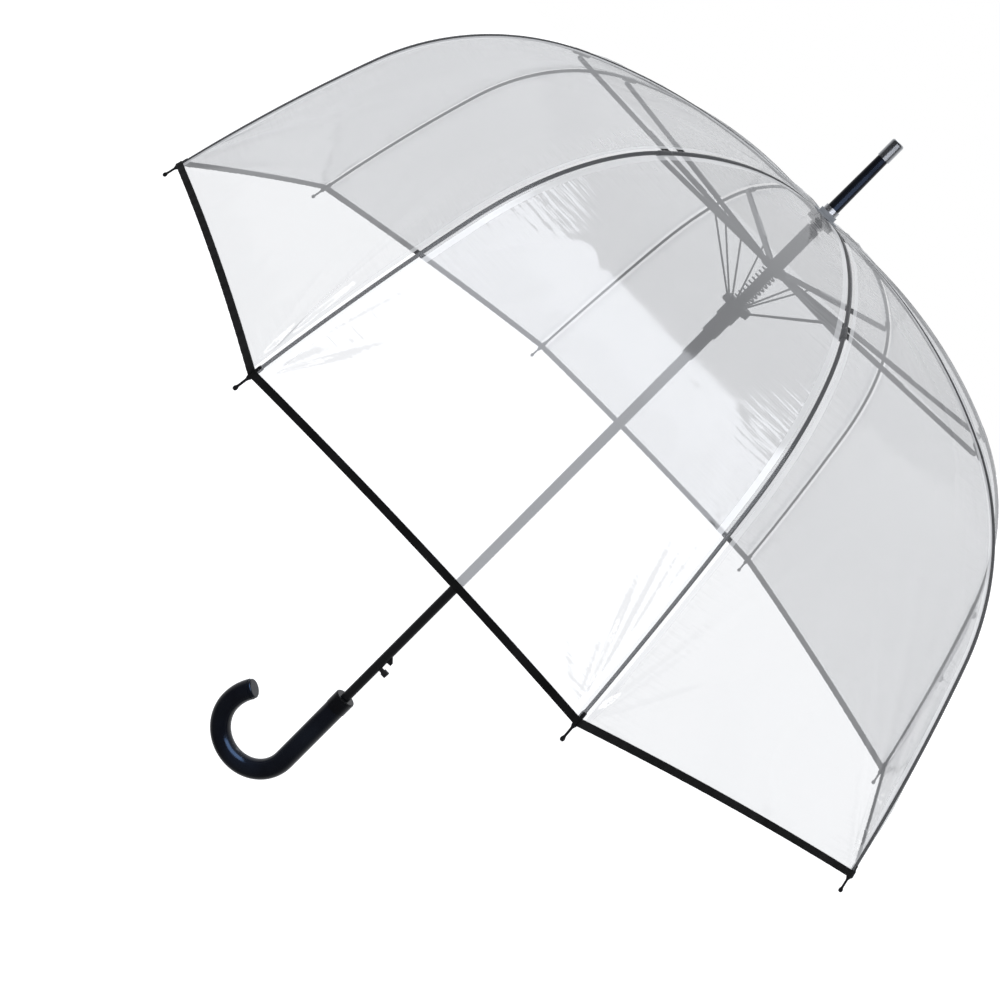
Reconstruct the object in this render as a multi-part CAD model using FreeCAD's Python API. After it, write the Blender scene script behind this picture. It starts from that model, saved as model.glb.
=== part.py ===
import FreeCAD, Part
from FreeCAD import Vector
from math import sin, cos, tan, radians, degrees, pi, sqrt
import os

# Bubble umbrella, open. Millimetres, +Z up along the shaft from the crook to the ferrule.
# The origin is the middle of the grip, on the shaft axis. The crook bends towards -X.

# ---- canopy ----
PANELS = 8
STEP = 360.0 / PANELS
HALF = STEP / 2
RIM_Z = 361.0
CROWN_R = 8.0
CROWN_RISE = 364.5
START_SLOPE = -5.5
# each stretch of the rib line bends round its own radius, from the crown down to the rim
STRETCHES = [(532.0, 28.6), (251.0, 43.5), (1730.0, 6.8)]
FILM = 0.15
SEAM_GAP = 0.2
HEM_WIDTH = 9.0
HEM_THICK = 1.0
HEM_PROUD = 0.35
SCALLOP = 8.0

# ---- ribs ----
RIB_DEPTH = 3.0
ROD_R = 1.4
PIVOT_AT = 2.0
CLIP_AT = 266.0
CLIP_DEPTH = 7.5
CLIP_LONG = 12.0
FLEX_PAST_FIRST = 50.0
EYE_R = 2.2
FLEX_EYE_R = 1.9
FLEX_PIN_R = 0.5
CHEEK_IN = 0.85
CHEEK_OUT = 1.6
EYE_HALF = 0.55
PIN_R = 0.7
FIT = 0.05
INNER_HALF = 1.6
TIP_PIN_LONG = 14.0
TIP_PIN_R = 1.0
TIP_BALL_R = 2.0

# ---- stretchers and links ----
HUB_Z = RIM_Z + 300.0
HUB_PIN_R = 9.5
RUNNER_Z = RIM_Z + 252.0
RUNNER_PIN_R = 13.0
TONGUE_HALF = 1.6
TONGUE_LONG = 12.0
TONGUE_HIGH = 1.5
RAIL_IN = 1.9
RAIL_OUT = 2.6
RAIL_HALF = 2.0
WEB_THICK = 0.7
LINK_AT = 75.0
WEB_FROM = 88.0
WEB_TO = 165.0
LINK_R = 0.9
SLOT = 3.9

# ---- shaft, hub, runner, notch ----
SHAFT_R = 5.0
SHAFT_WALL = 0.8
SLIDE_FIT = 0.05
SLEEVE_R = 7.0
NOTCH_R = 13.5
HUB_R = 13.5
RUNNER_R = 15.5
SPRING_WIRE = 1.2
SPRING_R = 6.4
SPRING_TURNS = 5

# ---- ferrule ----
WASHER_Z = RIM_Z + 365.6
FERRULE_Z = RIM_Z + 371.0
FERRULE_TOP = RIM_Z + 438.0
TIP_TOP = RIM_Z + 458.0
TIP_R = 6.5

# ---- handle ----
COLLAR_TOP = RIM_Z - 309.0
COLLAR_LONG = 16.0
GRIP_R = 11.0
BEND_Z = RIM_Z - 407.0
BEND_R = 41.5
TAIL_R = 53.0
TAIL_TURN = 30.0
SHAFT_IN_GRIP = 40.0
BUTTON_Z = RIM_Z - 260.0
BUTTON_R = 2.5
BUTTON_HEAD_R = 3.7
BUTTON_OUT = 14.0
CATCH_Z = RIM_Z - 245.0

X = Vector(1, 0, 0)
Y = Vector(0, 1, 0)
Z = Vector(0, 0, 1)
ZERO = Vector(0, 0, 0)


def rib_line(s, depth=0.0):
    """Point (r, z) and downward slope in radians, s mm along the rib line and depth mm inside the film."""
    r = CROWN_R
    z = RIM_Z + CROWN_RISE
    slope = radians(START_SLOPE)
    for radius, sweep in STRETCHES:
        part = min(s, radius * radians(sweep))
        after = slope + part / radius
        r += radius * (sin(after) - sin(slope))
        z += radius * (cos(after) - cos(slope))
        slope = after
        s -= part
        if s <= 0:
            break
    return r - depth * sin(slope), z - depth * cos(slope), slope


LENGTHS = [radius * radians(sweep) for radius, sweep in STRETCHES]
TOTAL = sum(LENGTHS)
FLEX_AT = LENGTHS[0] + FLEX_PAST_FIRST


def save(name, solids):
    shape = solids[0] if len(solids) == 1 else Part.makeCompound(solids)
    shape.exportStep("parts/" + name + ".step")


def turned(shape, angle):
    copy = shape.copy()
    copy.rotate(ZERO, Z, angle)
    return copy


def save_ring(name, solids, first_angle):
    """One copy for each rib or panel, numbered counter-clockwise seen from above."""
    for k in range(PANELS):
        save(name + "_" + str(k + 1), [turned(s, first_angle + STEP * k) for s in solids])


def cross_pin(r, z, radius, half):
    """A cylinder along the tangential direction, centred on the XZ plane."""
    return Part.makeCylinder(radius, 2 * half, Vector(r, -half, z), Y)


def slab(points, y0, y1):
    """A flat plate with this outline in the XZ plane, from y0 to y1."""
    wire = Part.makePolygon([Vector(x, y0, z) for x, z in points + points[:1]])
    return Part.Face(wire).extrude(Vector(0, y1 - y0, 0))


def bar(a, b, half_height, y0, y1, above=None):
    """A straight flat bar from a to b in the XZ plane, this far either side of the line between them."""
    up = half_height if above is None else above
    dx = b[0] - a[0]
    dz = b[1] - a[1]
    long = sqrt(dx * dx + dz * dz)
    nx = -dz / long
    nz = dx / long
    outline = [
        (a[0] - nx * half_height, a[1] - nz * half_height),
        (b[0] - nx * half_height, b[1] - nz * half_height),
        (b[0] + nx * up, b[1] + nz * up),
        (a[0] + nx * up, a[1] + nz * up),
    ]
    return slab(outline, y0, y1)


def rod_along(s0, s1, depth, radius):
    """A round rod that follows the rib line from s0 to s1."""
    pieces = []
    start = 0.0
    for (bend, sweep), length in zip(STRETCHES, LENGTHS):
        a = max(s0, start)
        b = min(s1, start + length)
        if b - a > 0.01:
            r, z, slope = rib_line(a, depth)
            centre_r = r - (bend - depth) * sin(slope)
            centre_z = z - (bend - depth) * cos(slope)
            ring = Part.Wire([Part.makeCircle(radius, Vector(r, 0, z), Vector(cos(slope), 0, -sin(slope)))])
            sweep_deg = degrees((b - a) / bend)
            pieces.append(Part.Face(ring).revolve(Vector(centre_r, 0, centre_z), Y, sweep_deg))
        start += length
    rod = pieces[0]
    for piece in pieces[1:]:
        rod = rod.fuse(piece)
    return rod.removeSplitter()


def along(s, depth, forward, inward=0.0):
    """The point forward mm along the tangent and inward mm towards the inside, from the rib line at s."""
    r, z, slope = rib_line(s, depth)
    return (
        r + forward * cos(slope) - inward * sin(slope),
        z - forward * sin(slope) - inward * cos(slope),
    )


def make_rib_upper():
    pivot = rib_line(PIVOT_AT, RIB_DEPTH)
    flex = rib_line(FLEX_AT, RIB_DEPTH)
    clip = rib_line(CLIP_AT, CLIP_DEPTH)
    rod = rod_along(PIVOT_AT + 4.0, FLEX_AT - 3.2, RIB_DEPTH, ROD_R)
    tongue = bar(along(PIVOT_AT, RIB_DEPTH, 0), along(PIVOT_AT, RIB_DEPTH, 6.0), 1.3, -TONGUE_HALF, TONGUE_HALF)
    rib = rod.fuse(tongue).fuse(cross_pin(pivot[0], pivot[1], EYE_R, TONGUE_HALF))
    rib = rib.cut(cross_pin(pivot[0], pivot[1], PIN_R + FIT, 3.0))
    block = bar(
        along(CLIP_AT, RIB_DEPTH, -CLIP_LONG / 2), along(CLIP_AT, RIB_DEPTH, CLIP_LONG / 2), 2.2, -INNER_HALF, INNER_HALF, 1.8
    )
    neck = bar(along(CLIP_AT, RIB_DEPTH, 0), (clip[0], clip[1]), 2.4, -INNER_HALF, INNER_HALF)
    rib = rib.fuse(block).fuse(neck).fuse(cross_pin(clip[0], clip[1], 2.4, INNER_HALF))
    for side in (-1, 1):
        y0 = min(side * CHEEK_IN, side * CHEEK_OUT)
        cheek = bar(along(FLEX_AT, RIB_DEPTH, -6.0), along(FLEX_AT, RIB_DEPTH, 0), 1.3, y0, y0 + CHEEK_OUT - CHEEK_IN)
        disc = Part.makeCylinder(FLEX_EYE_R, CHEEK_OUT - CHEEK_IN, Vector(flex[0], y0, flex[1]), Y)
        rib = rib.fuse(cheek).fuse(disc)
    return rib.fuse(cross_pin(flex[0], flex[1], FLEX_PIN_R, CHEEK_OUT)).removeSplitter()


def make_rib_lower():
    flex = rib_line(FLEX_AT, RIB_DEPTH)
    rod = rod_along(FLEX_AT + 3.2, TOTAL, RIB_DEPTH, ROD_R)
    tongue = bar(along(FLEX_AT, RIB_DEPTH, 0), along(FLEX_AT, RIB_DEPTH, 5.5), 1.2, -EYE_HALF, EYE_HALF)
    rib = rod.fuse(tongue).fuse(cross_pin(flex[0], flex[1], FLEX_EYE_R, EYE_HALF))
    rib = rib.cut(cross_pin(flex[0], flex[1], FLEX_PIN_R + FIT, 3.0))
    r, z, slope = rib_line(TOTAL, RIB_DEPTH)
    out = Vector(cos(slope), 0, -sin(slope))
    pin = Part.makeCylinder(TIP_PIN_R, TIP_PIN_LONG + 2, Vector(r, 0, z) - out * 2, out)
    ball = Part.makeSphere(TIP_BALL_R, Vector(r, 0, z) + out * TIP_PIN_LONG)
    return rib.fuse(pin).fuse(ball).removeSplitter()


def make_stretcher():
    hub = (HUB_PIN_R, HUB_Z)
    clip = rib_line(CLIP_AT, CLIP_DEPTH)
    dx = clip[0] - hub[0]
    dz = clip[1] - hub[1]
    long = sqrt(dx * dx + dz * dz)

    def at(d):
        return hub[0] + dx * d / long, hub[1] + dz * d / long

    body = bar(at(0), at(TONGUE_LONG), TONGUE_HIGH, -TONGUE_HALF, TONGUE_HALF)
    body = body.fuse(cross_pin(hub[0], hub[1], RAIL_HALF, TONGUE_HALF))
    body = body.fuse(bar(at(TONGUE_LONG - 2), at(TONGUE_LONG + 4), TONGUE_HIGH, -RAIL_OUT, RAIL_OUT))
    for side in (-1, 1):
        y0 = min(side * RAIL_IN, side * RAIL_OUT)
        rail = bar(at(TONGUE_LONG), at(long), RAIL_HALF, y0, y0 + RAIL_OUT - RAIL_IN)
        end = Part.makeCylinder(RAIL_HALF, RAIL_OUT - RAIL_IN, Vector(clip[0], y0, clip[1]), Y)
        body = body.fuse(rail).fuse(end)
    top_low = bar(at(WEB_FROM), at(WEB_TO), -RAIL_HALF, -RAIL_OUT, RAIL_OUT, RAIL_HALF + WEB_THICK)
    body = body.fuse(top_low)
    return body.cut(cross_pin(hub[0], hub[1], PIN_R + FIT, 4.0)).removeSplitter()


def make_link():
    hub = (HUB_PIN_R, HUB_Z)
    clip = rib_line(CLIP_AT, CLIP_DEPTH)
    dx = clip[0] - hub[0]
    dz = clip[1] - hub[1]
    long = sqrt(dx * dx + dz * dz)
    far = Vector(hub[0] + dx * LINK_AT / long, 0, hub[1] + dz * LINK_AT / long)
    near = Vector(RUNNER_PIN_R, 0, RUNNER_Z)
    line = far - near
    wire = Part.makeCylinder(LINK_R, line.Length, near, line)
    link = wire.fuse(cross_pin(near.x, near.z, 1.9, TONGUE_HALF))
    link = link.fuse(cross_pin(far.x, far.z, 1.2, INNER_HALF))
    return link.cut(cross_pin(near.x, near.z, PIN_R + FIT, 4.0)).removeSplitter()


def gore_section(s0, s1, outside, inside):
    """The cut through the middle of a panel, between two depths, as a face in the XZ plane."""
    count = 40
    outer = []
    inner = []
    for i in range(count + 1):
        s = s0 + (s1 - s0) * i / count
        r, z, slope = rib_line(s)
        flat = Vector(cos(slope) * cos(radians(HALF)), 0, -sin(slope))
        flat.normalize()
        point = Vector(r * cos(radians(HALF)), 0, z)
        normal = Vector(flat.z, 0, -flat.x)
        outer.append(point + normal * outside)
        inner.append(point + normal * inside)
    top = Part.BSplineCurve()
    top.interpolate(outer)
    under = Part.BSplineCurve()
    under.interpolate(inner)
    edges = [
        top.toShape(),
        Part.makeLine(outer[-1], inner[-1]),
        under.toShape(),
        Part.makeLine(inner[0], outer[0]),
    ]
    return Part.Face(Part.Wire(Part.sortEdges(edges)[0]))


def gore(s0, s1, outside, inside):
    """One flat-sided panel piece between two seam planes, centred on the XZ plane."""
    reach = 520.0
    width = reach * tan(radians(HALF))
    strip = gore_section(s0, s1, outside, inside)
    strip.translate(Vector(0, -width, 0))
    strip = strip.extrude(Vector(0, 2 * width, 0))
    inset = SEAM_GAP / sin(radians(HALF))
    corners = [Vector(inset, 0, 0), Vector(inset + reach, -width, 0), Vector(inset + reach, width, 0)]
    wedge = Part.Face(Part.makePolygon(corners + corners[:1])).extrude(Vector(0, 0, 900))
    return strip.common(wedge).Solids[0]


def hem_round(extra):
    """A long disc whose edge is the scalloped hem line, moved up the panel by extra."""
    r, z, slope = rib_line(TOTAL)
    half_width = r * sin(radians(HALF))
    sweep = (half_width**2 + SCALLOP**2) / (2 * SCALLOP)
    down = Vector(cos(slope) * cos(radians(HALF)), 0, -sin(slope))
    down.normalize()
    normal = Vector(-down.z, 0, down.x)
    centre = Vector(r * cos(radians(HALF)), 0, z) + down * (sweep - SCALLOP)
    return Part.makeCylinder(sweep + extra, 40, centre - normal * 20, normal)


def ring_at(r_in, r_out, z0, z1):
    tube = Part.makeCylinder(r_out, z1 - z0, Vector(0, 0, z0))
    return tube.cut(Part.makeCylinder(r_in, z1 - z0 + 2, Vector(0, 0, z0 - 1)))


def slotted(body, r_from, z0, z1, pin_r, pin_z):
    """Eight slots at the rib angles, each with a straight pin across it."""
    for k in range(PANELS):
        cutter = Part.makeBox(30, SLOT, z1 - z0 + 2, Vector(r_from, -SLOT / 2, z0 - 1))
        body = body.cut(turned(cutter, HALF + STEP * k))
    for k in range(PANELS):
        body = body.fuse(turned(cross_pin(pin_r, pin_z, PIN_R, SLOT / 2 + 0.6), HALF + STEP * k))
    return body.removeSplitter()


def make_notch():
    r, z, slope = rib_line(PIVOT_AT, RIB_DEPTH)
    flange = ring_at(SHAFT_R, NOTCH_R, z - 5.5, z + 1.9)
    neck = ring_at(SHAFT_R, SLEEVE_R, z - 9.0, z - 5.5)
    return slotted(flange.fuse(neck), r - 2.7, z - 5.5, z + 1.9, r, z)


def make_hub():
    flange = ring_at(SHAFT_R + SLIDE_FIT, HUB_R, HUB_Z - 3.5, HUB_Z + 4.5)
    sleeve = ring_at(SHAFT_R + SLIDE_FIT, SLEEVE_R, HUB_Z + 4.5, HUB_Z + 51.0)
    return slotted(flange.fuse(sleeve), SLEEVE_R, HUB_Z - 3.5, HUB_Z + 4.5, HUB_PIN_R, HUB_Z)


def make_runner():
    bore = SHAFT_R + SLIDE_FIT
    flange = ring_at(bore, RUNNER_R, RUNNER_Z - 4.5, RUNNER_Z + 3.0)
    flange = slotted(flange, RUNNER_PIN_R - 2.4, RUNNER_Z - 4.5, RUNNER_Z + 3.0, RUNNER_PIN_R, RUNNER_Z)
    body = ring_at(bore, 9.5, RUNNER_Z - 18.0, RUNNER_Z - 4.5)
    step = ring_at(bore, 8.0, RUNNER_Z - 38.0, RUNNER_Z - 18.0)
    tail = ring_at(bore, 6.3, RUNNER_Z - 67.0, RUNNER_Z - 38.0)
    return flange.fuse(body).fuse(step).fuse(tail).removeSplitter()


def make_spring():
    low = RUNNER_Z + 3.0 + SPRING_WIRE / 2 + 0.1
    high = HUB_Z - 3.5 - SPRING_WIRE / 2 - 0.1
    helix = Part.makeHelix((high - low) / SPRING_TURNS, high - low, SPRING_R)
    helix.translate(Vector(0, 0, low))
    section = Part.Wire([Part.makeCircle(SPRING_WIRE / 2, Vector(SPRING_R, 0, low), Y)])
    return Part.Wire(helix.Edges).makePipeShell([section], True, True)


def make_shaft():
    low = COLLAR_TOP - COLLAR_LONG - SHAFT_IN_GRIP
    tube = ring_at(SHAFT_R - SHAFT_WALL, SHAFT_R, low, FERRULE_Z + 12.0)
    tube = tube.cut(Part.makeCylinder(BUTTON_R + 0.06, 8, Vector(0, 0, BUTTON_Z), X))
    return tube.cut(Part.makeBox(8, 2.6, 11.6, Vector(0, -1.3, CATCH_Z - 5.8)))


def make_button():
    stem = Part.makeCylinder(BUTTON_R, 7.0, Vector(1.8, 0, BUTTON_Z), X)
    head_from = 8.2
    head = Part.makeCylinder(BUTTON_HEAD_R, BUTTON_OUT - head_from, Vector(head_from, 0, BUTTON_Z), X)
    head = head.makeFillet(0.8, [e for e in head.Edges if abs(e.BoundBox.XMin - BUTTON_OUT) < 0.01])
    return stem.fuse(head).fuse(Part.makeCylinder(2.9, 1.4, Vector(1.2, 0, BUTTON_Z), X))


def make_catch():
    base = [(1.0, CATCH_Z - 8), (3.2, CATCH_Z - 8), (3.2, CATCH_Z - 5.4), (9.6, CATCH_Z - 4.6)]
    nose = [(9.6, CATCH_Z - 1.6), (3.2, CATCH_Z + 5.4), (3.2, CATCH_Z + 8), (1.0, CATCH_Z + 8)]
    return slab(base + nose, -1.0, 1.0)


def make_handle():
    top = COLLAR_TOP - COLLAR_LONG
    grip = Part.makeCylinder(GRIP_R, top - BEND_Z, Vector(0, 0, BEND_Z))
    ring = Part.Face(Part.Wire([Part.makeCircle(GRIP_R, Vector(0, 0, BEND_Z), Z)]))
    bend = ring.revolve(Vector(-BEND_R, 0, BEND_Z), Y, 180)
    far = -2 * BEND_R
    ring = Part.Face(Part.Wire([Part.makeCircle(GRIP_R, Vector(far, 0, BEND_Z), Z)]))
    tail = ring.revolve(Vector(far + TAIL_R, 0, BEND_Z), Y, TAIL_TURN)
    grip = grip.fuse(bend).fuse(tail).removeSplitter()
    grip = grip.cut(Part.makeCylinder(SHAFT_R, SHAFT_IN_GRIP, Vector(0, 0, top - SHAFT_IN_GRIP)))
    turn = radians(TAIL_TURN)
    end = Vector(far + TAIL_R - TAIL_R * cos(turn), 0, BEND_Z + TAIL_R * sin(turn))
    way = Vector(sin(turn), 0, cos(turn))
    cap = Part.makeCylinder(GRIP_R - 0.6, 4.0, end, way)
    rim = [e for e in cap.Edges if (e.CenterOfMass - (end + way * 4.0)).Length < 0.1]
    return [grip, cap.makeFillet(2.0, rim)]


def make_collar():
    collar = ring_at(SHAFT_R, GRIP_R + 0.5, COLLAR_TOP - COLLAR_LONG, COLLAR_TOP)
    outer = [e for e in collar.Edges if e.BoundBox.XLength > 2 * GRIP_R and abs(e.BoundBox.ZMin - COLLAR_TOP) < 0.01]
    return collar.makeFillet(1.6, outer)


def make_ferrule():
    foot = FERRULE_Z + 5.0
    cone = Part.makeCone(6.2, 5.6, FERRULE_TOP - foot, Vector(0, 0, foot))
    return cone.cut(Part.makeCylinder(SHAFT_R, 7.0, Vector(0, 0, foot)))


def make_ferrule_fittings():
    base = ring_at(SHAFT_R, 7.6, FERRULE_Z, FERRULE_Z + 5.0)
    cap = Part.makeCylinder(TIP_R, TIP_TOP - FERRULE_TOP, Vector(0, 0, FERRULE_TOP))
    edge = [e for e in cap.Edges if abs(e.BoundBox.ZMin - TIP_TOP) < 0.01]
    return [base, cap.makeFillet(2.0, edge)]


def make_washer():
    disc = ring_at(SHAFT_R, 14.0, WASHER_Z, WASHER_Z + 1.2)
    return disc.fuse(ring_at(SHAFT_R, 9.0, WASHER_Z + 1.2, FERRULE_Z)).removeSplitter()


os.makedirs("parts", exist_ok=True)

save_ring("rib_upper", [make_rib_upper()], HALF)
save_ring("rib_lower", [make_rib_lower()], HALF)
save_ring("stretcher", [make_stretcher()], HALF)
save_ring("link", [make_link()], HALF)

upper = gore(0.0, FLEX_AT - SEAM_GAP, 0.0, FILM)
lower_cut = hem_round(HEM_WIDTH)
lower_film = gore(FLEX_AT + SEAM_GAP, TOTAL, 0.0, FILM).cut(lower_cut).Solids[0]
hem = gore(TOTAL - 40.0, TOTAL, -HEM_PROUD, HEM_THICK - HEM_PROUD)
hem = hem.common(lower_cut).cut(hem_round(0.0)).Solids[0]
save_ring("panel_upper", [upper], 0.0)
save_ring("panel_lower", [lower_film, hem], 0.0)

save("shaft_tube", [make_shaft()])
save("handle_crook", make_handle())
save("handle_collar", [make_collar()])
save("ferrule", [make_ferrule()])
save("ferrule_fittings", make_ferrule_fittings())
save("crown_washer", [make_washer()])
save("top_notch", [make_notch()])
save("stretcher_hub", [make_hub()])
save("runner", [make_runner()])
save("opening_spring", [make_spring()])
save("push_button", [make_button()])
save("runner_catch", [make_catch()])
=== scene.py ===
from math import atan2, cos, exp, hypot, pi, radians, sin, sqrt
import bmesh
import bpy
from mathutils import Matrix, Vector, noise


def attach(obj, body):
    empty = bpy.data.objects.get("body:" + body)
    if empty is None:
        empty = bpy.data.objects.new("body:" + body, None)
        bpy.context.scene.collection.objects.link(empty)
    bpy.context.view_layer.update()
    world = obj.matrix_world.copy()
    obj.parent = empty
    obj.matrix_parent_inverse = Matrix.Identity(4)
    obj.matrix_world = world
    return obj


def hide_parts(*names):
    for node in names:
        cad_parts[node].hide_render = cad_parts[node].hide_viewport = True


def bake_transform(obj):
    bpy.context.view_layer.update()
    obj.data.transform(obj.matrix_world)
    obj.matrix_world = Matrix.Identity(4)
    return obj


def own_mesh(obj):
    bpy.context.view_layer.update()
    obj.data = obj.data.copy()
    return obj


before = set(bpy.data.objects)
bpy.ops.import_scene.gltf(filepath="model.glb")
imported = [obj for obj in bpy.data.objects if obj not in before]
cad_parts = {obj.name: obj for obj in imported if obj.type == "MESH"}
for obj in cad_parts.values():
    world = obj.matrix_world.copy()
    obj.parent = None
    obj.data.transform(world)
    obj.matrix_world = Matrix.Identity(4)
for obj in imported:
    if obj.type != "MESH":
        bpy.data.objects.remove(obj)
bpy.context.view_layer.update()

# ---------------------------------------------------------------- sizes, metres
PANELS = 8
STEP = 2 * pi / PANELS
HALF = STEP / 2

# The rib line, from the crown to the rim: its start, its slope there, and its arcs as (radius, sweep).
RIM_Z = 0.361
CROWN_R = 0.008
CROWN_Z = RIM_Z + 0.3645
START_SLOPE = radians(-5.5)
STRETCHES = [(0.532, radians(28.6)), (0.251, radians(43.5)), (1.730, radians(6.8))]
TOTAL = sum(radius * sweep for radius, sweep in STRETCHES)
FLEX_AT = STRETCHES[0][0] * STRETCHES[0][1] + 0.050
FLEX_REACH = 0.045

# The ribs, their clips and their tips. A depth is measured inwards from the film.
ROD_START = 0.006
ROD_R = 0.0018
ROD_TAPER = 0.2
RIB_DEPTH = 0.0021
EYE_AT = 0.002
CLIP_AT = 0.266
CLIP_HALF_LENGTH = 0.0085
CLIP_BODY_DEPTH = 0.0027
LUG_DEPTH = 0.0052
CLIP_DEPTH = 0.0075

# The film, its welded seams and its tape. HUG is the half width of the band that lies on a rod, which gets
# the film with painted shade.
SCALLOP = 0.003
SAG = 0.0045
HEM = 0.0066
SEAM = 0.0100
HUG = 0.0050
SEAM_COLUMNS = [0.0, 0.0015, HUG, 0.0070]
UPPER_KEEP = 0.09
LOWER_KEEP = 0.05

# The closure strap, on rib 1.
STRAP_S = 0.455
STRAP_LENGTH = 0.095
STRAP_WIDTH = 0.013
STRAP_THICK = 0.0005

# The opening spring, between the runner and the hub.
HUB_Z = RIM_Z + 0.300
RUNNER_Z = RIM_Z + 0.252
COIL_TURNS = 9
COIL_R = 0.0084
COIL_WIRE = 0.0009


def rib_line(s, depth=0.0):
    """(r, z, slope) of the point s along the rib line and depth inside the film."""
    r, z, slope = CROWN_R, CROWN_Z, START_SLOPE
    for radius, sweep in STRETCHES:
        part = min(s, radius * sweep)
        after = slope + part / radius
        r += radius * (sin(after) - sin(slope))
        z += radius * (cos(after) - cos(slope))
        slope = after
        s -= part
        if s <= 0:
            break
    if s > 0:
        r += s * cos(slope)
        z -= s * sin(slope)
    return r - depth * sin(slope), z - depth * cos(slope), slope


def half_width(s):
    """Half a panel's width s along it."""
    return rib_line(s)[0] * sin(HALF)


def spin(p, angle):
    """The point p turned about the shaft."""
    x = p[0] * cos(angle) - p[1] * sin(angle)
    y = p[0] * sin(angle) + p[1] * cos(angle)
    return Vector((x, y, p[2]))


def rib_angle(k):
    return HALF + STEP * (k - 1)


def panel_angle(k):
    return STEP * (k - 1)


def across(angle):
    """The level direction at right angles to the one at that angle."""
    return (-sin(angle), cos(angle), 0)


# ---------------------------------------------------------------- shader nodes
def material(name):
    m = bpy.data.materials.new(name)
    m.use_nodes = True
    t = m.node_tree
    return m, t, t.nodes["Principled BSDF"]


def noise_node(t, scale, detail=3.0, stretch=None, coords="Object"):
    tc = t.nodes.new("ShaderNodeTexCoord")
    n = t.nodes.new("ShaderNodeTexNoise")
    n.inputs["Scale"].default_value = scale
    n.inputs["Detail"].default_value = detail
    place = tc.outputs[coords]
    if stretch:
        mp = t.nodes.new("ShaderNodeMapping")
        mp.inputs["Scale"].default_value = stretch
        t.links.new(place, mp.inputs["Vector"])
        place = mp.outputs["Vector"]
    t.links.new(place, n.inputs["Vector"])
    return n


def ramp(t, source, low, high):
    """A colour that goes from one (position, colour) to another as source rises."""
    r = t.nodes.new("ShaderNodeValToRGB")
    for element, (position, colour) in zip(r.color_ramp.elements, (low, high)):
        element.position = position
        element.color = (*colour, 1)
    t.links.new(source, r.inputs["Fac"])
    return r.outputs["Color"]


def span(t, source, low, high, start=0.0, end=1.0):
    """A value that goes from low to high as source goes from start to end."""
    n = t.nodes.new("ShaderNodeMapRange")
    n.inputs["From Min"].default_value = start
    n.inputs["From Max"].default_value = end
    n.inputs["To Min"].default_value = low
    n.inputs["To Max"].default_value = high
    t.links.new(source, n.inputs["Value"])
    return n.outputs["Result"]


def math_node(t, operation, a, b):
    n = t.nodes.new("ShaderNodeMath")
    n.operation = operation
    t.links.new(a, n.inputs[0])
    if isinstance(b, float):
        n.inputs[1].default_value = b
    else:
        t.links.new(b, n.inputs[1])
    return n


def bump(t, b, source, strength, distance, normal=None):
    n = t.nodes.new("ShaderNodeBump")
    n.inputs["Strength"].default_value = strength
    n.inputs["Distance"].default_value = distance
    t.links.new(source, n.inputs["Height"])
    if normal is not None:
        t.links.new(normal, n.inputs["Normal"])
    t.links.new(n.outputs["Normal"], b.inputs["Normal"])
    return n.outputs["Normal"]


# ---------------------------------------------------------------- materials
def solid_material(name, low, high, rough, scale, bump_size=0.0002, metallic=0.0, spec=0.5, stretch=None):
    """Plastic, paint or metal, with cloudy colour and a fine texture in its gloss."""
    m, t, b = material(name)
    cloud = noise_node(t, scale, 4.0, stretch)
    t.links.new(ramp(t, cloud.outputs["Fac"], (0.3, low), (0.7, high)), b.inputs["Base Color"])
    fine = noise_node(t, scale * 9, 3.0, stretch)
    t.links.new(span(t, fine.outputs["Fac"], rough[0], rough[1], 0.3, 0.7), b.inputs["Roughness"])
    b.inputs["Metallic"].default_value = metallic
    b.inputs["Specular IOR Level"].default_value = spec
    bump(t, b, fine.outputs["Fac"], 0.25, bump_size)
    return m


def add_storage_wrinkles(t, b, normal):
    """Hair-fine wrinkles that fade away from the seams. The cut layer's X is the distance from a seam."""
    hair = noise_node(t, 1.0, 2.0, (22.0, 190.0, 1.0), "UV")
    uv = t.nodes.new("ShaderNodeSeparateXYZ")
    t.links.new(t.nodes["Texture Coordinate"].outputs["UV"], uv.inputs["Vector"])
    fade = span(t, uv.outputs["X"], 1.0, 0.0, 0.004, 0.060)
    height = math_node(t, "MULTIPLY", hair.outputs["Fac"], fade)
    bump(t, b, height.outputs["Value"], 0.9, 0.0022, normal)


def film_material(name, face_on, edge_on, tone, rough, level=0.8, blend=0.30, wrinkled=False):
    """Clear soft film: see-through, with a pale veil that is face_on or edge_on thick, and a wet gloss."""
    m, t, b = material(name)
    lw = t.nodes.new("ShaderNodeLayerWeight")
    lw.inputs["Blend"].default_value = blend
    cloud = noise_node(t, 5.5, 2.0)
    fine = noise_node(t, 26.0, 3.0, (1.0, 1.0, 0.35))
    cloudiness = 0.10
    facing = span(t, lw.outputs["Facing"], face_on - cloudiness / 2, edge_on - cloudiness / 2)
    veil = math_node(t, "MULTIPLY_ADD", cloud.outputs["Fac"], cloudiness)
    t.links.new(facing, veil.inputs[2])
    t.links.new(veil.outputs["Value"], b.inputs["Alpha"])
    darker = tuple(c * 0.93 for c in tone)
    t.links.new(ramp(t, cloud.outputs["Fac"], (0.35, darker), (0.65, tone)), b.inputs["Base Color"])
    t.links.new(span(t, fine.outputs["Fac"], rough[0], rough[1], 0.3, 0.7), b.inputs["Roughness"])
    b.inputs["IOR"].default_value = 1.9
    b.inputs["Specular IOR Level"].default_value = level
    broad = bump(t, b, cloud.outputs["Fac"], 0.3, 0.004)
    small = bump(t, b, fine.outputs["Fac"], 0.3, 0.0006, broad)
    if wrinkled:
        add_storage_wrinkles(t, b, small)
    return m


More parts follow.
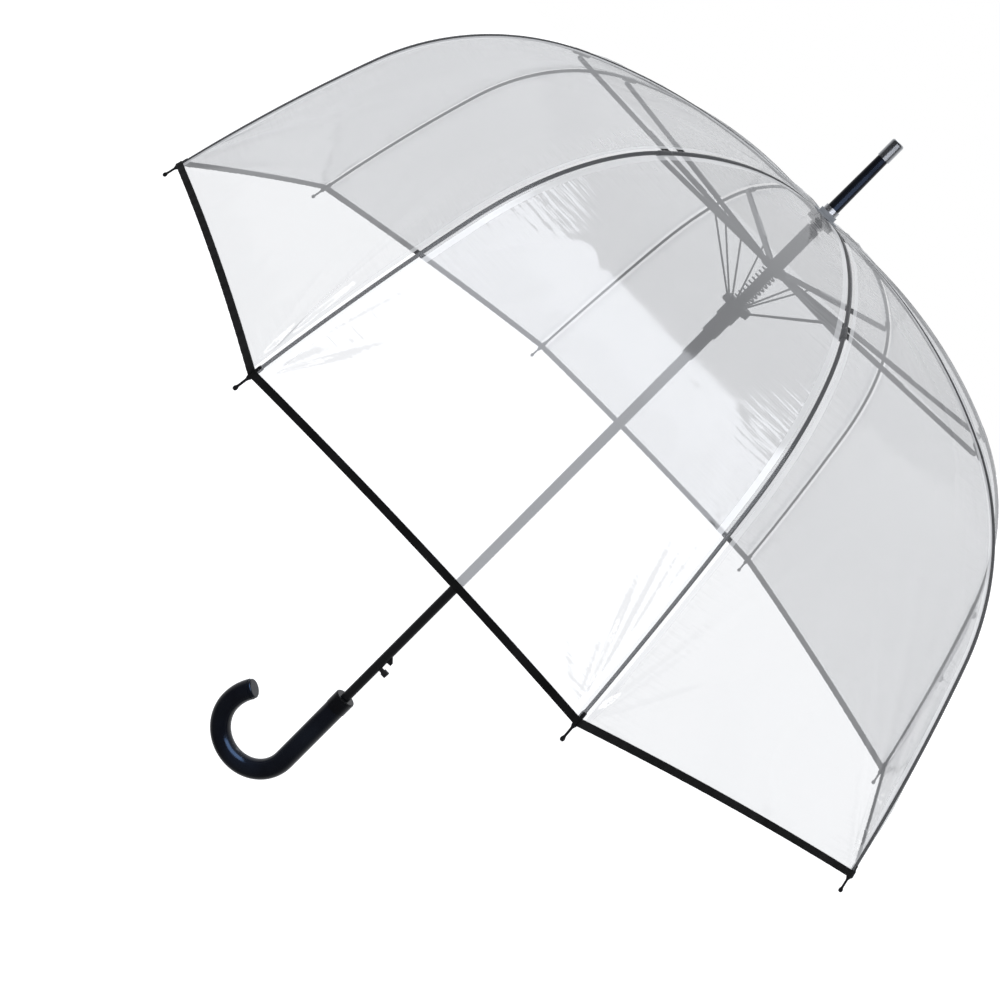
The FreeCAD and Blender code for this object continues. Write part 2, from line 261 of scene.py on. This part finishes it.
def fabric_material(name, low, high):
    """Ribbed binding tape."""
    m, t, b = material(name)
    tc = t.nodes.new("ShaderNodeTexCoord")
    w = t.nodes.new("ShaderNodeTexWave")
    w.bands_direction = "DIAGONAL"
    w.inputs["Scale"].default_value = 420.0
    w.inputs["Distortion"].default_value = 1.5
    w.inputs["Detail"].default_value = 1.0
    t.links.new(tc.outputs["Object"], w.inputs["Vector"])
    n = noise_node(t, 30.0, 3.0)
    t.links.new(ramp(t, n.outputs["Fac"], (0.3, low), (0.7, high)), b.inputs["Base Color"])
    b.inputs["Roughness"].default_value = 0.7
    b.inputs["Specular IOR Level"].default_value = 0.15
    b.inputs["Sheen Weight"].default_value = 0.03
    bump(t, b, w.outputs["Fac"], 0.5, 0.0003)
    return m


FILM = film_material(
    "clear_film", 0.45, 0.62, tone=(0.63, 0.637, 0.648), rough=(0.06, 0.13), wrinkled=True)
SEAM_FILM = film_material(
    "welded_seam_film", 0.64, 0.76, tone=(0.88, 0.89, 0.905), rough=(0.10, 0.20))
# The film over the rods: a darker, more see-through copy of the film whose tone is painted shade, standing
# in for the reflection the film lacks where it curves round a rod.
ROD_FILM_PAINTED_SHADE = film_material(
    "film_over_rib_painted_shade", 0.38, 0.0, tone=(0.40, 0.41, 0.43), rough=(0.12, 0.25), level=0.3, blend=0.5)
TAPE = fabric_material("black_binding_tape", (0.004, 0.004, 0.004), (0.012, 0.012, 0.013))
FIBRE = solid_material(
    "black_glass_fibre", (0.008, 0.008, 0.009), (0.018, 0.018, 0.020),
    rough=(0.28, 0.42), scale=60, stretch=(1, 1, 0.2))
STEEL_BLACK = solid_material(
    "black_painted_steel", (0.010, 0.010, 0.011), (0.020, 0.020, 0.023),
    rough=(0.22, 0.36), scale=30, metallic=0.3)
PLASTIC = solid_material(
    "black_moulded_plastic", (0.010, 0.010, 0.011), (0.022, 0.022, 0.024),
    rough=(0.34, 0.5), scale=45, bump_size=0.0004)
GLOSS = solid_material(
    "glossy_black_handle", (0.003, 0.003, 0.004), (0.007, 0.008, 0.010),
    rough=(0.16, 0.24), scale=18, bump_size=0.00002, spec=0.42)
CHROME = solid_material(
    "polished_chrome", (0.55, 0.56, 0.58), (0.70, 0.71, 0.73),
    rough=(0.16, 0.26), scale=8, bump_size=0.00001, metallic=1.0)
PALE = solid_material(
    "pale_grey_plastic", (0.26, 0.28, 0.31), (0.34, 0.36, 0.39),
    rough=(0.30, 0.45), scale=40, bump_size=0.0003)
SHAFT = solid_material(
    "black_lacquered_tube", (0.008, 0.008, 0.009), (0.016, 0.017, 0.019),
    rough=(0.28, 0.40), scale=22, bump_size=0.00003, spec=0.35, stretch=(1, 1, 0.15))


# ---------------------------------------------------------------- mesh helpers
def mesh_object(name, verts, faces, mats, smooth=True, indices=None):
    me = bpy.data.meshes.new(name)
    me.from_pydata([tuple(v) for v in verts], [], faces)
    for m in mats:
        me.materials.append(m)
    if indices:
        me.polygons.foreach_set("material_index", indices)
    me.polygons.foreach_set("use_smooth", [smooth] * len(me.polygons))
    me.update()
    o = bpy.data.objects.new(name, me)
    bpy.context.scene.collection.objects.link(o)
    return o


def clean(o):
    """The same piece with all its faces turned outwards."""
    bm = bmesh.new()
    bm.from_mesh(o.data)
    bmesh.ops.recalc_face_normals(bm, faces=bm.faces)
    bm.to_mesh(o.data)
    bm.free()
    return o


def skin_rings(count, sides):
    """Faces that join count + 1 rings of points into a closed tube."""
    faces = []
    for i in range(count):
        for j in range(sides):
            a = i * sides + j
            b = i * sides + (j + 1) % sides
            faces.append((a, b, b + sides, a + sides))
    faces.append(tuple(range(sides))[::-1])
    faces.append(tuple(range(count * sides, (count + 1) * sides)))
    return faces


def tube(name, path, radii, mat, sides):
    """A round tube along points, its radius given at each of them."""
    verts = []
    guide = None
    for i, p in enumerate(path):
        before = path[max(i - 1, 0)]
        after = path[min(i + 1, len(path) - 1)]
        d = (after - before).normalized()
        if guide is None:
            guide = d.orthogonal().normalized()
        guide = (guide - d * guide.dot(d)).normalized()
        side = d.cross(guide)
        for j in range(sides):
            w = 2 * pi * j / sides
            verts.append(p + (guide * cos(w) + side * sin(w)) * radii[i])
    return clean(mesh_object(name, verts, skin_rings(len(path) - 1, sides), [mat]))


def lathe(name, outline, mat, centre, axis, sides):
    """A turned piece about axis at centre: outline is (radius, height) from one end to the other."""
    turn = Vector((0, 0, 1)).rotation_difference(Vector(axis)).to_matrix()
    verts = []
    for r, h in outline:
        for j in range(sides):
            w = 2 * pi * j / sides
            verts.append(turn @ Vector((r * cos(w), r * sin(w), h)) + centre)
    return clean(mesh_object(name, verts, skin_rings(len(outline) - 1, sides), [mat]))


def rounded_disc(half_height, r, edge):
    """Outline of a disc with rounded rims."""
    steps = 4
    centre_r = 0.0002
    corner = [pi / 2 * i / steps for i in range(steps + 1)]
    out = [(centre_r, -half_height)]
    out += [(r - edge + edge * sin(a), -half_height + edge - edge * cos(a)) for a in corner]
    out += [(r - edge + edge * cos(a), half_height - edge + edge * sin(a)) for a in corner]
    out.append((centre_r, half_height))
    return out


# ---------------------------------------------------------------- film
def gore_point(s, y, push, angle):
    """A point of a panel: s along it, y across it, push outwards along its normal."""
    r, z, slope = rib_line(s)
    x = r * cos(HALF)
    nx, nz = sin(slope), cos(slope) * cos(HALF)
    length = hypot(nx, nz)
    return spin((x + push * nx / length, y, z + push * nz / length), angle)


def sag(t, s):
    """How far the film hangs inwards at t across the panel, -1 to 1, and s along it."""
    return -SAG * (1 - t * t) * sin(pi * min(1.0, s / TOTAL)) ** 0.8


def rim_at(t):
    """How far along the panel its scalloped rim is, at t across it."""
    return TOTAL - SCALLOP * (1 - t * t)


# Folds that fan out from a hem corner, each with its angle from the rib and its share of FAN_LIFT.
CREASES = [(0.05, 0.9), (0.11, -0.7), (0.19, 1.0), (0.30, -0.8), (0.46, 0.7), (0.70, -0.5)]
FAN_LIFT = 0.0046
FAN_REACH = 0.26
FAN_FADE = 0.12

# Gathers beside the upper part of a rib, where they start and end along it and how wide they are.
GATHER_LIFT = 0.0022
GATHER_START = 0.08
GATHER_END = 0.40
GATHER_WIDTH = 0.11
WAVE_LIFT = 0.0005
WAVE_WIDTH = 0.06

# Crumples round the crown, which fade by CROWN_FADE. All folds shrink to nothing between SMOOTH_TO
# and the crown ring.
CROWN_FADE = 0.17
CROWN_WAVE = 0.0009
CROWN_CRUMPLE = 0.0016
SMOOTH_TO = 0.05


def fan_folds(dy, ds, side, seed):
    """Height of the folds that fan out from a hem corner, dy from the rib and ds from the rim."""
    distance = hypot(dy, ds)
    if distance >= FAN_REACH:
        return 0.0
    fan = atan2(dy, ds + 0.004)
    fade = exp(-distance / FAN_FADE) * min(1.0, distance / 0.012)
    width = 0.0024 + 0.028 * distance
    height = 0.0
    for turn, share in CREASES:
        fold = turn * (1 + 0.25 * sin(seed * 5 + side + turn * 40))
        height += FAN_LIFT * share * fade * exp(-(((fan - fold) * distance / width) ** 2))
    return height


def rib_gathers(s, y, dy, side, seed):
    """Height of the gathers and waves beside a rib, dy from it."""
    height = 0.0
    if GATHER_START < s < GATHER_END and dy < GATHER_WIDTH:
        along = sin(pi * (s - GATHER_START) / (GATHER_END - GATHER_START)) ** 2
        share = along * (1 - dy / GATHER_WIDTH) * (0.5 + 0.5 * sin(seed * 2 + 1.7 * side))
        c = noise.noise(Vector((dy * 42 + seed, s * 8 + side, seed * 1.9)))
        height += GATHER_LIFT * share * exp(-((c / 0.10) ** 2))
    near = max(0.0, 1 - dy / WAVE_WIDTH)
    wave = sin(s * 95 + seed * 2.1 + 20 * side * y) * (0.3 + 0.7 * sin(s * 19 + seed) ** 2)
    return height + WAVE_LIFT * near * wave


def crown_folds(s, y, half, seed):
    """Height of the waves and crumples round the crown."""
    near = exp(-((s / CROWN_FADE) ** 2))
    height = CROWN_WAVE * near * sin(8 * y / max(half, 0.004) + seed)
    if near > 0.02:
        c = noise.noise(Vector((y * 38 + seed, s * 24, seed * 0.7)))
        share = 0.5 + noise.noise(Vector((y * 12, s * 12, seed)))
        height += CROWN_CRUMPLE * near * (1 - min(1.0, abs(c) * 5)) * share
    return height


def storage_creases(s, y, seed):
    """Height of the broad swells, the small ones, and the thin creases left by folding."""
    broad = noise.noise(Vector((y * 7 + seed * 3.1, s * 2.6, seed * 1.3)))
    small = noise.noise(Vector((y * 30 - s * 4 + seed, s * 5.5, seed * 2.7)))
    line = noise.noise(Vector((y * 11 + s * 3 + seed, s * 7, 5.5 + seed)))
    crease = exp(-((line / 0.03) ** 2)) * max(0.0, broad)
    return 0.0006 * broad + 0.0004 * small + 0.0012 * crease


def ripple(s, y, half, seed):
    """Height of all the film's small folds, none of them at the crown ring itself."""
    height = crown_folds(s, y, half, seed) + storage_creases(s, y, seed)
    for side in (-1, 1):
        dy = half - side * y
        height += fan_folds(dy, TOTAL - s, side, seed) + rib_gathers(s, y, dy, side, seed)
    return height * min(1.0, s / SMOOTH_TO)


def film_columns(columns):
    """Places across a panel: (side, offset) from a seam, or (share, None) of the width between seams."""
    spread = [0.55 * (-1 + 2 * j / columns) - 0.45 * cos(pi * j / columns) for j in range(columns + 1)]
    left = [(-1, offset) for offset in SEAM_COLUMNS]
    right = [(1, offset) for offset in reversed(SEAM_COLUMNS)]
    return left + [(share, None) for share in spread] + right


def film_piece(name, k, s0, s1, rows, columns):
    """Panel k's film from s0 to s1 along it: clear, welded at its seams, and drawn over each rib in a band
    of painted shade.
    """
    angle = panel_angle(k)
    seed = k * 1.9
    places = film_columns(columns)
    verts, faces, index, cut = [], [], [], []
    for i in range(rows + 1):
        for share, offset in places:
            end = rim_at(share) - 0.0008 if s1 >= TOTAL else s1
            s = s0 + (end - s0) * i / rows
            half = half_width(s)
            inner = max(half - SEAM, half * 0.55)
            y = share * inner if offset is None else share * (half - offset * (half - inner) / SEAM)
            ease = min(1.0, max(0.0, half - abs(y) - HUG) / 0.008)
            ease *= min(1.0, max(0.0, TOTAL - s - HEM - SCALLOP) / 0.010)
            push = sag(y / half, s) + ripple(s, y, half, seed) * ease
            verts.append(gore_point(s, y, push, angle))
            cut.append((half - abs(y), s + (3.0 if y > 0 else 0.0) + 7.0 * k))
    width = len(places)
    for i in range(rows):
        for j in range(width - 1):
            a = i * width + j
            faces.append((a, a + width, a + width + 1, a + 1))
            # The two columns next to each seam take the film with painted shade over the rod, and the next
            # two take the welded seam film.
            band = min(j, width - 2 - j)
            index.append(2 if band < 2 else 1 if band < 4 else 0)
    piece = mesh_object(name, verts, faces, [FILM, SEAM_FILM, ROD_FILM_PAINTED_SHADE], indices=index)
    layer = piece.data.uv_layers.new(name="cut")
    flat = [c for loop in piece.data.loops for c in cut[loop.vertex_index]]
    layer.data.foreach_set("uv", flat)
    return piece


def flat_area(s0, s1):
    """Area of a panel from s0 to s1, before it is stretched over the ribs."""
    steps = 60
    ds = (s1 - s0) / steps
    return sum(2 * half_width(s0 + (i + 0.5) * ds) * ds for i in range(steps))


# The folded tape's section: how far up from the rim, and how far out of the film.
HEM_SECTION = [
    (0.0, -0.0006), (0.0, 0.0007), (0.0012, 0.0011), (0.0045, 0.0009), (HEM - 0.0006, 0.0010),
    (HEM, 0.0006), (HEM, -0.0006), (HEM - 0.0006, -0.0008), (0.0045, -0.0006), (0.0012, -0.0009)]


def hem_piece(name, k):
    """The folded black tape on a panel's lower edge, slightly puckered."""
    count = 96
    verts = []
    for i in range(count + 1):
        u = -1 + 2 * i / count
        pucker = 0.00022 * sin(i * 1.9 + k) + 0.0003 * noise.noise(Vector((i * 0.31, k * 3.3, 0)))
        for up, out in HEM_SECTION:
            s = rim_at(u) - up + 0.0004
            half = half_width(s) - 0.0001
            verts.append(gore_point(s, u * half, out + pucker + sag(u, s), panel_angle(k)))
    return clean(mesh_object(name, verts, skin_rings(count, len(HEM_SECTION)), [TAPE]))


def make_panel(k):
    top = film_piece(f"film_upper_{k}", k, 0.0, FLEX_AT, 110, 84)
    low = film_piece(f"film_lower_{k}", k, FLEX_AT, TOTAL, 124, 120)
    hem = hem_piece(f"hem_tape_{k}", k)
    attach(top, f"panel_upper_{k}")
    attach(low, f"panel_lower_{k}")
    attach(hem, f"panel_lower_{k}")
    for piece, keep in ((top, UPPER_KEEP), (low, LOWER_KEEP), (hem, LOWER_KEEP)):
        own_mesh(piece)
    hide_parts(f"panel_upper_{k}")
    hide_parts(f"panel_lower_{k}")
    ribs = [f"rib_rod_{k}", f"rib_rod_{(k - 2) % PANELS + 1}"]
    upper_flat = (2 * half_width(FLEX_AT), FLEX_AT)
    lower_flat = (2 * half_width(TOTAL), TOTAL - FLEX_AT)
    return [
        (top, upper_flat, flat_area(0, FLEX_AT), ribs, []),
        (low, lower_flat, flat_area(FLEX_AT, TOTAL), ribs, [hem])]


# ---------------------------------------------------------------- ribs
def rib_point(k, s, depth, forward=0.0):
    """A point of rib k: s along it, depth inside the film, and forward in its own direction."""
    r, z, slope = rib_line(s, depth)
    return spin((r + forward * cos(slope), 0, z - forward * sin(slope)), rib_angle(k))


def make_rod(k):
    """Rib k's glass-fibre rod, one piece along the rib line from the notch to the rim."""
    count = 90
    path = [rib_point(k, ROD_START + (TOTAL - ROD_START) * i / count, RIB_DEPTH) for i in range(count + 1)]
    radii = [ROD_R * (1 - ROD_TAPER * (i / count) ** 2) for i in range(count + 1)]
    rod = tube(f"rib_rod_{k}", path, radii, FIBRE, 14)
    bend_start = rib_point(k, FLEX_AT - FLEX_REACH, RIB_DEPTH)
    bend_end = rib_point(k, FLEX_AT + FLEX_REACH, RIB_DEPTH)
    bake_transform(rod)
    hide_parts(f"rib_upper_{k}", f"rib_lower_{k}")


def make_eye(k):
    """The steel eye that turns in the notch, and the neck that holds the rod."""
    outline = rounded_disc(0.0016, 0.0022, 0.0004)
    centre = rib_point(k, EYE_AT, RIB_DEPTH)
    ring = lathe(f"rib_eye_{k}", outline, STEEL_BLACK, centre, across(rib_angle(k)), 24)
    path = [rib_point(k, EYE_AT, RIB_DEPTH, 0.0012), rib_point(k, EYE_AT, RIB_DEPTH, 0.004)]
    path += [rib_point(k, 0.010, RIB_DEPTH), rib_point(k, 0.024, RIB_DEPTH)]
    neck = tube(f"rib_neck_{k}", path, [0.0014, 0.0018, 0.0019, 0.0016], STEEL_BLACK, 16)
    return [ring, neck]


def make_clip(k):
    """The clip on rib k, its lug, and the rivet where the stretcher turns."""
    c0 = rib_point(k, CLIP_AT - CLIP_HALF_LENGTH, CLIP_BODY_DEPTH)
    c1 = rib_point(k, CLIP_AT + CLIP_HALF_LENGTH, CLIP_BODY_DEPTH)
    shape = [(0.0, 0.0017), (0.06, 0.0024), (0.14, 0.0026), (0.5, 0.0026), (0.86, 0.0026),
             (0.94, 0.0024), (1.0, 0.0017)]
    body = [c0.lerp(c1, share) for share, _ in shape]
    clip = tube(f"rib_clip_{k}", body, [radius for _, radius in shape], PLASTIC, 20)
    pin = rib_point(k, CLIP_AT, CLIP_DEPTH)
    path = [rib_point(k, CLIP_AT, RIB_DEPTH), rib_point(k, CLIP_AT, LUG_DEPTH), pin]
    lug = tube(f"clip_lug_{k}", path, [0.0016, 0.0015, 0.0015], PLASTIC, 16)
    outline = rounded_disc(0.0033, 0.0013, 0.0004)
    rivet = lathe(f"clip_rivet_{k}", outline, CHROME, pin, across(rib_angle(k)), 20)
    return [clip, lug, rivet]


# The tip from inside the tape to its ball: how far past the rim, and its radius there.
TIP = [
    (-0.012, 0.0019), (-0.0105, 0.0022), (0.001, 0.0022), (0.002, 0.0017), (0.0035, 0.0011),
    (0.0105, 0.00105), (0.0118, 0.0013), (0.0128, 0.0018), (0.014, 0.0020), (0.0152, 0.0017),
    (0.0159, 0.0009)]


def make_tip(k):
    slope = rib_line(TOTAL, RIB_DEPTH)[2]
    along = spin((cos(slope), 0, -sin(slope)), rib_angle(k))
    start = rib_point(k, TOTAL, RIB_DEPTH)
    path = [start + along * distance for distance, _ in TIP]
    return tube(f"rib_tip_{k}", path, [radius for _, radius in TIP], STEEL_BLACK, 20)


# ---------------------------------------------------------------- closure strap
def on_ridge(s, y, push):
    """A point on the film y to the side of rib 1, push outside it."""
    half = half_width(s)
    if y < 0:
        return gore_point(s, half + y, push, rib_angle(1) - HALF)
    return gore_point(s, y - half, push, rib_angle(1) + HALF)


def strap_point(v, u, layer):
    """A point of the strap: v along it, u across it from -1 to 1, on its lower or upper face."""
    taper = 1.0
    if v > 0.93:
        taper = min(1.0, sqrt(max(0.0, 1 - ((v - 0.93) / 0.07) ** 2)))
    y = STRAP_WIDTH / 2 * u * max(taper, 0.25)
    lift = 0.0011 + 0.0022 * sin(pi * v) ** 2 * (1 + 0.3 * sin(9 * v)) - 0.0005 * abs(y) / 0.006
    return on_ridge(STRAP_S + STRAP_LENGTH * v, y, lift + STRAP_THICK * layer)


def strap_piece():
    rows, columns = 60, 10
    width = columns + 1
    shift = (rows + 1) * width
    verts, faces = [], []
    for layer in (0, 1):
        for i in range(rows + 1):
            for j in range(width):
                verts.append(strap_point(i / rows, -1 + 2 * j / columns, layer))
    for i in range(rows):
        for j in range(columns):
            a = i * width + j
            b = a + shift
            faces.append((a, a + 1, a + width + 1, a + width))
            faces.append((b, b + width, b + width + 1, b + 1))
    edge = list(range(width)) + [i * width + columns for i in range(1, rows + 1)]
    edge += [rows * width + j for j in range(columns - 1, -1, -1)]
    edge += [i * width for i in range(rows - 1, 0, -1)]
    for a, b in zip(edge, edge[1:] + edge[:1]):
        faces.append((a, b, b + shift, a + shift))
    return clean(mesh_object("closure_strap", verts, faces, [SEAM_FILM]))


def strap_snap(n, v):
    """A press stud through the strap, v along it."""
    s = STRAP_S + STRAP_LENGTH * v
    out = (on_ridge(s, 0.0, 0.02) - on_ridge(s, 0.0, 0.0)).normalized()
    outline = [
        (0.0002, -0.0016), (0.0036, -0.0016), (0.0040, -0.0012), (0.0041, 0.0), (0.0036, 0.0008),
        (0.0029, 0.0010), (0.0026, 0.0014), (0.0019, 0.0019), (0.0010, 0.0021), (0.0002, 0.0021)]
    return lathe(f"strap_snap_{n}", outline, STEEL_BLACK, on_ridge(s, 0.0, 0.0024), out, 28)


def make_strap():
    strap = strap_piece()
    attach(strap, "rib_lower_1")
    snaps = [strap_snap(1, 0.10), strap_snap(2, 0.90)]
    for snap in snaps:
        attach(snap, "rib_lower_1")


# ---------------------------------------------------------------- spring
def make_spring():
    low = RUNNER_Z + 0.0038
    high = HUB_Z - 0.0043
    steps = COIL_TURNS * 28
    path = []
    for i in range(steps + 1):
        w = 2 * pi * COIL_TURNS * i / steps
        path.append(Vector((COIL_R * cos(w), COIL_R * sin(w), low + (high - low) * i / steps)))
    spring = tube("opening_coil", path, [COIL_WIRE] * (steps + 1), STEEL_BLACK, 10)
    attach(spring, "hub")
    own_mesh(spring)
    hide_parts("opening_spring")


# ---------------------------------------------------------------- all the pieces
sheets = []
for k in range(1, PANELS + 1):
    sheets += make_panel(k)

for k in range(1, PANELS + 1):
    make_rod(k)
    fixed = make_eye(k) + make_clip(k)
    for piece in fixed:
        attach(piece, f"rib_upper_{k}")
    tip = make_tip(k)
    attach(tip, f"rib_lower_{k}")

make_strap()
make_spring()

# The CAD nodes that stay in view, and what each is made of.
LOOKS = {
    "stretcher": STEEL_BLACK,
    "link": STEEL_BLACK,
    "stretcher_hub": PLASTIC,
    "runner": PLASTIC,
    "runner_catch": STEEL_BLACK,
    "push_button": PLASTIC,
    "top_notch": PLASTIC,
    "crown_washer": PALE,
    "shaft_tube": SHAFT,
    "handle_crook": GLOSS,
    "handle_collar": GLOSS,
    "ferrule": GLOSS,
    "ferrule_fittings": CHROME,
}
for name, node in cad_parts.items():
    base = name.rsplit("_", 1)[0] if name[-1].isdigit() else name
    if base in LOOKS:
        node.data.materials.clear()
        node.data.materials.append(LOOKS[base])

# ---------------------------------------------------------------- camera
CAMERA_AZIMUTH = radians(6.99)
CAMERA_ELEVATION = radians(15.68)
CAMERA_ROLL = radians(44.66)
CAMERA_AIM = Vector((0, 0, 0.45))
CAMERA_OFFSET = Vector((-0.112, -0.071, 1.738))
SENSOR = 36
FOCAL = SENSOR * 1.808


def make_camera():
    """The camera: its offset from what it looks at is to its right, up, and back."""
    level = cos(CAMERA_ELEVATION)
    back = Vector((sin(CAMERA_AZIMUTH) * level, -cos(CAMERA_AZIMUTH) * level, sin(CAMERA_ELEVATION)))
    right = Vector((0, 0, 1)).cross(back).normalized()
    up = back.cross(right)
    x = right * cos(CAMERA_ROLL) + up * sin(CAMERA_ROLL)
    y = -right * sin(CAMERA_ROLL) + up * cos(CAMERA_ROLL)
    turn = Matrix((x, y, back)).transposed()
    cam = bpy.data.objects.new("camera", bpy.data.cameras.new("camera"))
    bpy.context.scene.collection.objects.link(cam)
    cam.matrix_world = Matrix.Translation(CAMERA_AIM + turn @ CAMERA_OFFSET) @ turn.to_4x4()
    cam.data.lens = FOCAL
    cam.data.sensor_width = SENSOR
    cam.data.clip_end = 100
    bpy.context.scene.camera = cam


make_camera()


# ---------------------------------------------------------------- lights
def group(name, chosen):
    c = bpy.data.collections.new(name)
    for o in chosen:
        c.objects.link(o)
    return c


def towards(azimuth, elevation, distance, centre=(0, 0, 0.5)):
    """A place that far from centre in that direction, in degrees."""
    a, e = radians(azimuth), radians(elevation)
    return Vector(centre) + distance * Vector((cos(a) * cos(e), sin(a) * cos(e), sin(e)))


def softbox(name, place, aim, size, radiance, on, colour=(1, 1, 1)):
    """A rectangular light of that width, height and radiance, which lights only the pieces in on."""
    d = bpy.data.lights.new(name, "AREA")
    d.shape = "RECTANGLE"
    d.size, d.size_y = size
    d.energy = radiance * pi * size[0] * size[1]
    d.color = colour
    o = bpy.data.objects.new(name, d)
    bpy.context.scene.collection.objects.link(o)
    o.location = place
    o.rotation_euler = (Vector(aim) - Vector(place)).to_track_quat("-Z", "Y").to_euler()
    o.light_linking.receiver_collection = on
    return o


def film_softbox(name, place, aim, size, radiance, colour=(1, 1, 1)):
    """A softbox that the film only mirrors."""
    softbox(name, place, aim, size, radiance, films, colour).visible_diffuse = False


def solid_softbox(name, place, aim, size, radiance, on, colour):
    """A softbox whose light comes through the film unshaded."""
    softbox(name, place, aim, size, radiance, on, colour).light_linking.blocker_collection = solids


meshes = [o for o in bpy.data.objects if o.type == "MESH"]
films = group("film_pieces", [o for o in meshes if o.name.startswith("film_")])
solids = group("solid_pieces", [o for o in meshes if not o.name.startswith("film_")])
grip = group("handle_pieces", [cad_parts["handle_crook"]])
cone = group("cone_pieces", [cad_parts["ferrule"]])
chrome = group("chrome_pieces", [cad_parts["ferrule_fittings"]])

COOL_WHITE = (0.95, 0.98, 1.04)
SIDE_SIZE = (2.6, 4.2)
STREAK_SIZE = (0.4, 2.2)
DISTANCE = 3.2
MIDDLE = (0, 0, 0.5)
CONE_MIDDLE = (0, 0, 0.75)
CAP_MIDDLE = (0, 0, 0.78)
GRIP_MIDDLE = (0, 0, 0)

film_softbox("front_softbox", (-0.3, -3.5, 4.35), (-0.3, 0, 4.35), (3.8, 3.1), 3.1, COOL_WHITE)
film_softbox("low_softbox", (-0.3, -3.5, 1.45), (-0.3, 0, 1.45), (3.8, 2.7), 2.7, COOL_WHITE)
film_softbox("crown_strip", towards(-60, 66, DISTANCE), (0, 0, 0.6), (0.35, 1.4), 3.5)
film_softbox("right_softbox", towards(6, 34, DISTANCE), MIDDLE, SIDE_SIZE, 0.45)
film_softbox("left_softbox", towards(172, 34, DISTANCE), MIDDLE, SIDE_SIZE, 0.25)
film_softbox("right_streak", towards(-42, 24, DISTANCE), MIDDLE, STREAK_SIZE, 5)
film_softbox("left_streak", towards(212, 24, DISTANCE), MIDDLE, STREAK_SIZE, 5)
solid_softbox(
    "grip_softbox", towards(-95, 62, DISTANCE, GRIP_MIDDLE), GRIP_MIDDLE, (4.2, 2.2), 6,
    grip, (0.30, 0.52, 1.0))
solid_softbox(
    "cone_softbox", towards(-55, -16, DISTANCE, CONE_MIDDLE), CONE_MIDDLE, (4.4, 1.8), 4,
    cone, (0.42, 0.58, 1.0))
solid_softbox(
    "chrome_softbox", towards(-60, -16, DISTANCE, CAP_MIDDLE), CAP_MIDDLE, (4.0, 1.8), 1.6,
    chrome, (0.94, 0.97, 1.05))
solid_softbox(
    "rim_strip", towards(100, 40, 3.0), (0, 0, 0.4), (0.5, 1.5), 2,
    solids, (0.9, 0.95, 1.0))


# ---------------------------------------------------------------- floor
FLOOR_REACH = 30.0
FLOOR_Z = -1.5


def make_floor():
    """A pale floor that only the camera sees, so that it neither lights nor shades the umbrella."""
    m, t, b = material("pale_floor")
    n = noise_node(t, 3.0)
    tint = ramp(t, n.outputs["Fac"], (0.0, (0.90, 0.90, 0.90)), (1.0, (0.93, 0.93, 0.93)))
    t.links.new(tint, b.inputs["Base Color"])
    b.inputs["Roughness"].default_value = 0.9
    b.inputs["Specular IOR Level"].default_value = 0.1
    b.inputs["Emission Color"].default_value = (1, 1, 1, 1)
    b.inputs["Emission Strength"].default_value = 0.55
    corners = [(-1, -1), (1, -1), (1, 1), (-1, 1)]
    verts = [(x * FLOOR_REACH, y * FLOOR_REACH, FLOOR_Z) for x, y in corners]
    floor = mesh_object("floor", verts, [(0, 1, 2, 3)], [m], False)
    floor.visible_diffuse = False
    floor.visible_glossy = False
    floor.visible_shadow = False


make_floor()


# ---------------------------------------------------------------- world
def choose(t, ray, no, yes):
    """A colour that is yes for one kind of ray, and no for the others."""
    pick = t.nodes.new("ShaderNodeMix")
    pick.data_type = "RGBA"
    for socket, value in (("A", no), ("B", yes)):
        if isinstance(value, tuple):
            pick.inputs[socket].default_value = value
        else:
            t.links.new(value, pick.inputs[socket])
    t.links.new(ray, pick.inputs["Factor"])
    return pick.outputs["Result"]


def make_world():
    """White to the camera, an even light on surfaces, and for gloss dark in front and pale behind."""
    world = bpy.data.worlds.new("studio")
    bpy.context.scene.world = world
    world.use_nodes = True
    t = world.node_tree
    background = t.nodes["Background"]
    rays = t.nodes.new("ShaderNodeLightPath").outputs
    way = t.nodes.new("ShaderNodeTexCoord")
    split = t.nodes.new("ShaderNodeSeparateXYZ")
    t.links.new(way.outputs["Generated"], split.inputs["Vector"])
    behind = span(t, split.outputs["Y"], 0.0, 1.0, -0.3, 0.9)
    mirrored = ramp(t, behind, (0.0, (0.04, 0.041, 0.044)), (1.0, (0.80, 0.81, 0.83)))
    lit = choose(t, rays["Is Glossy Ray"], (0.80, 0.81, 0.83, 1), mirrored)
    shade = choose(t, rays["Is Camera Ray"], lit, (1, 1, 1, 1))
    t.links.new(shade, background.inputs["Color"])
    background.inputs["Strength"].default_value = 1.0


make_world()
bpy.context.scene.view_settings.view_transform = "Standard"
bpy.context.scene.view_settings.look = "None"
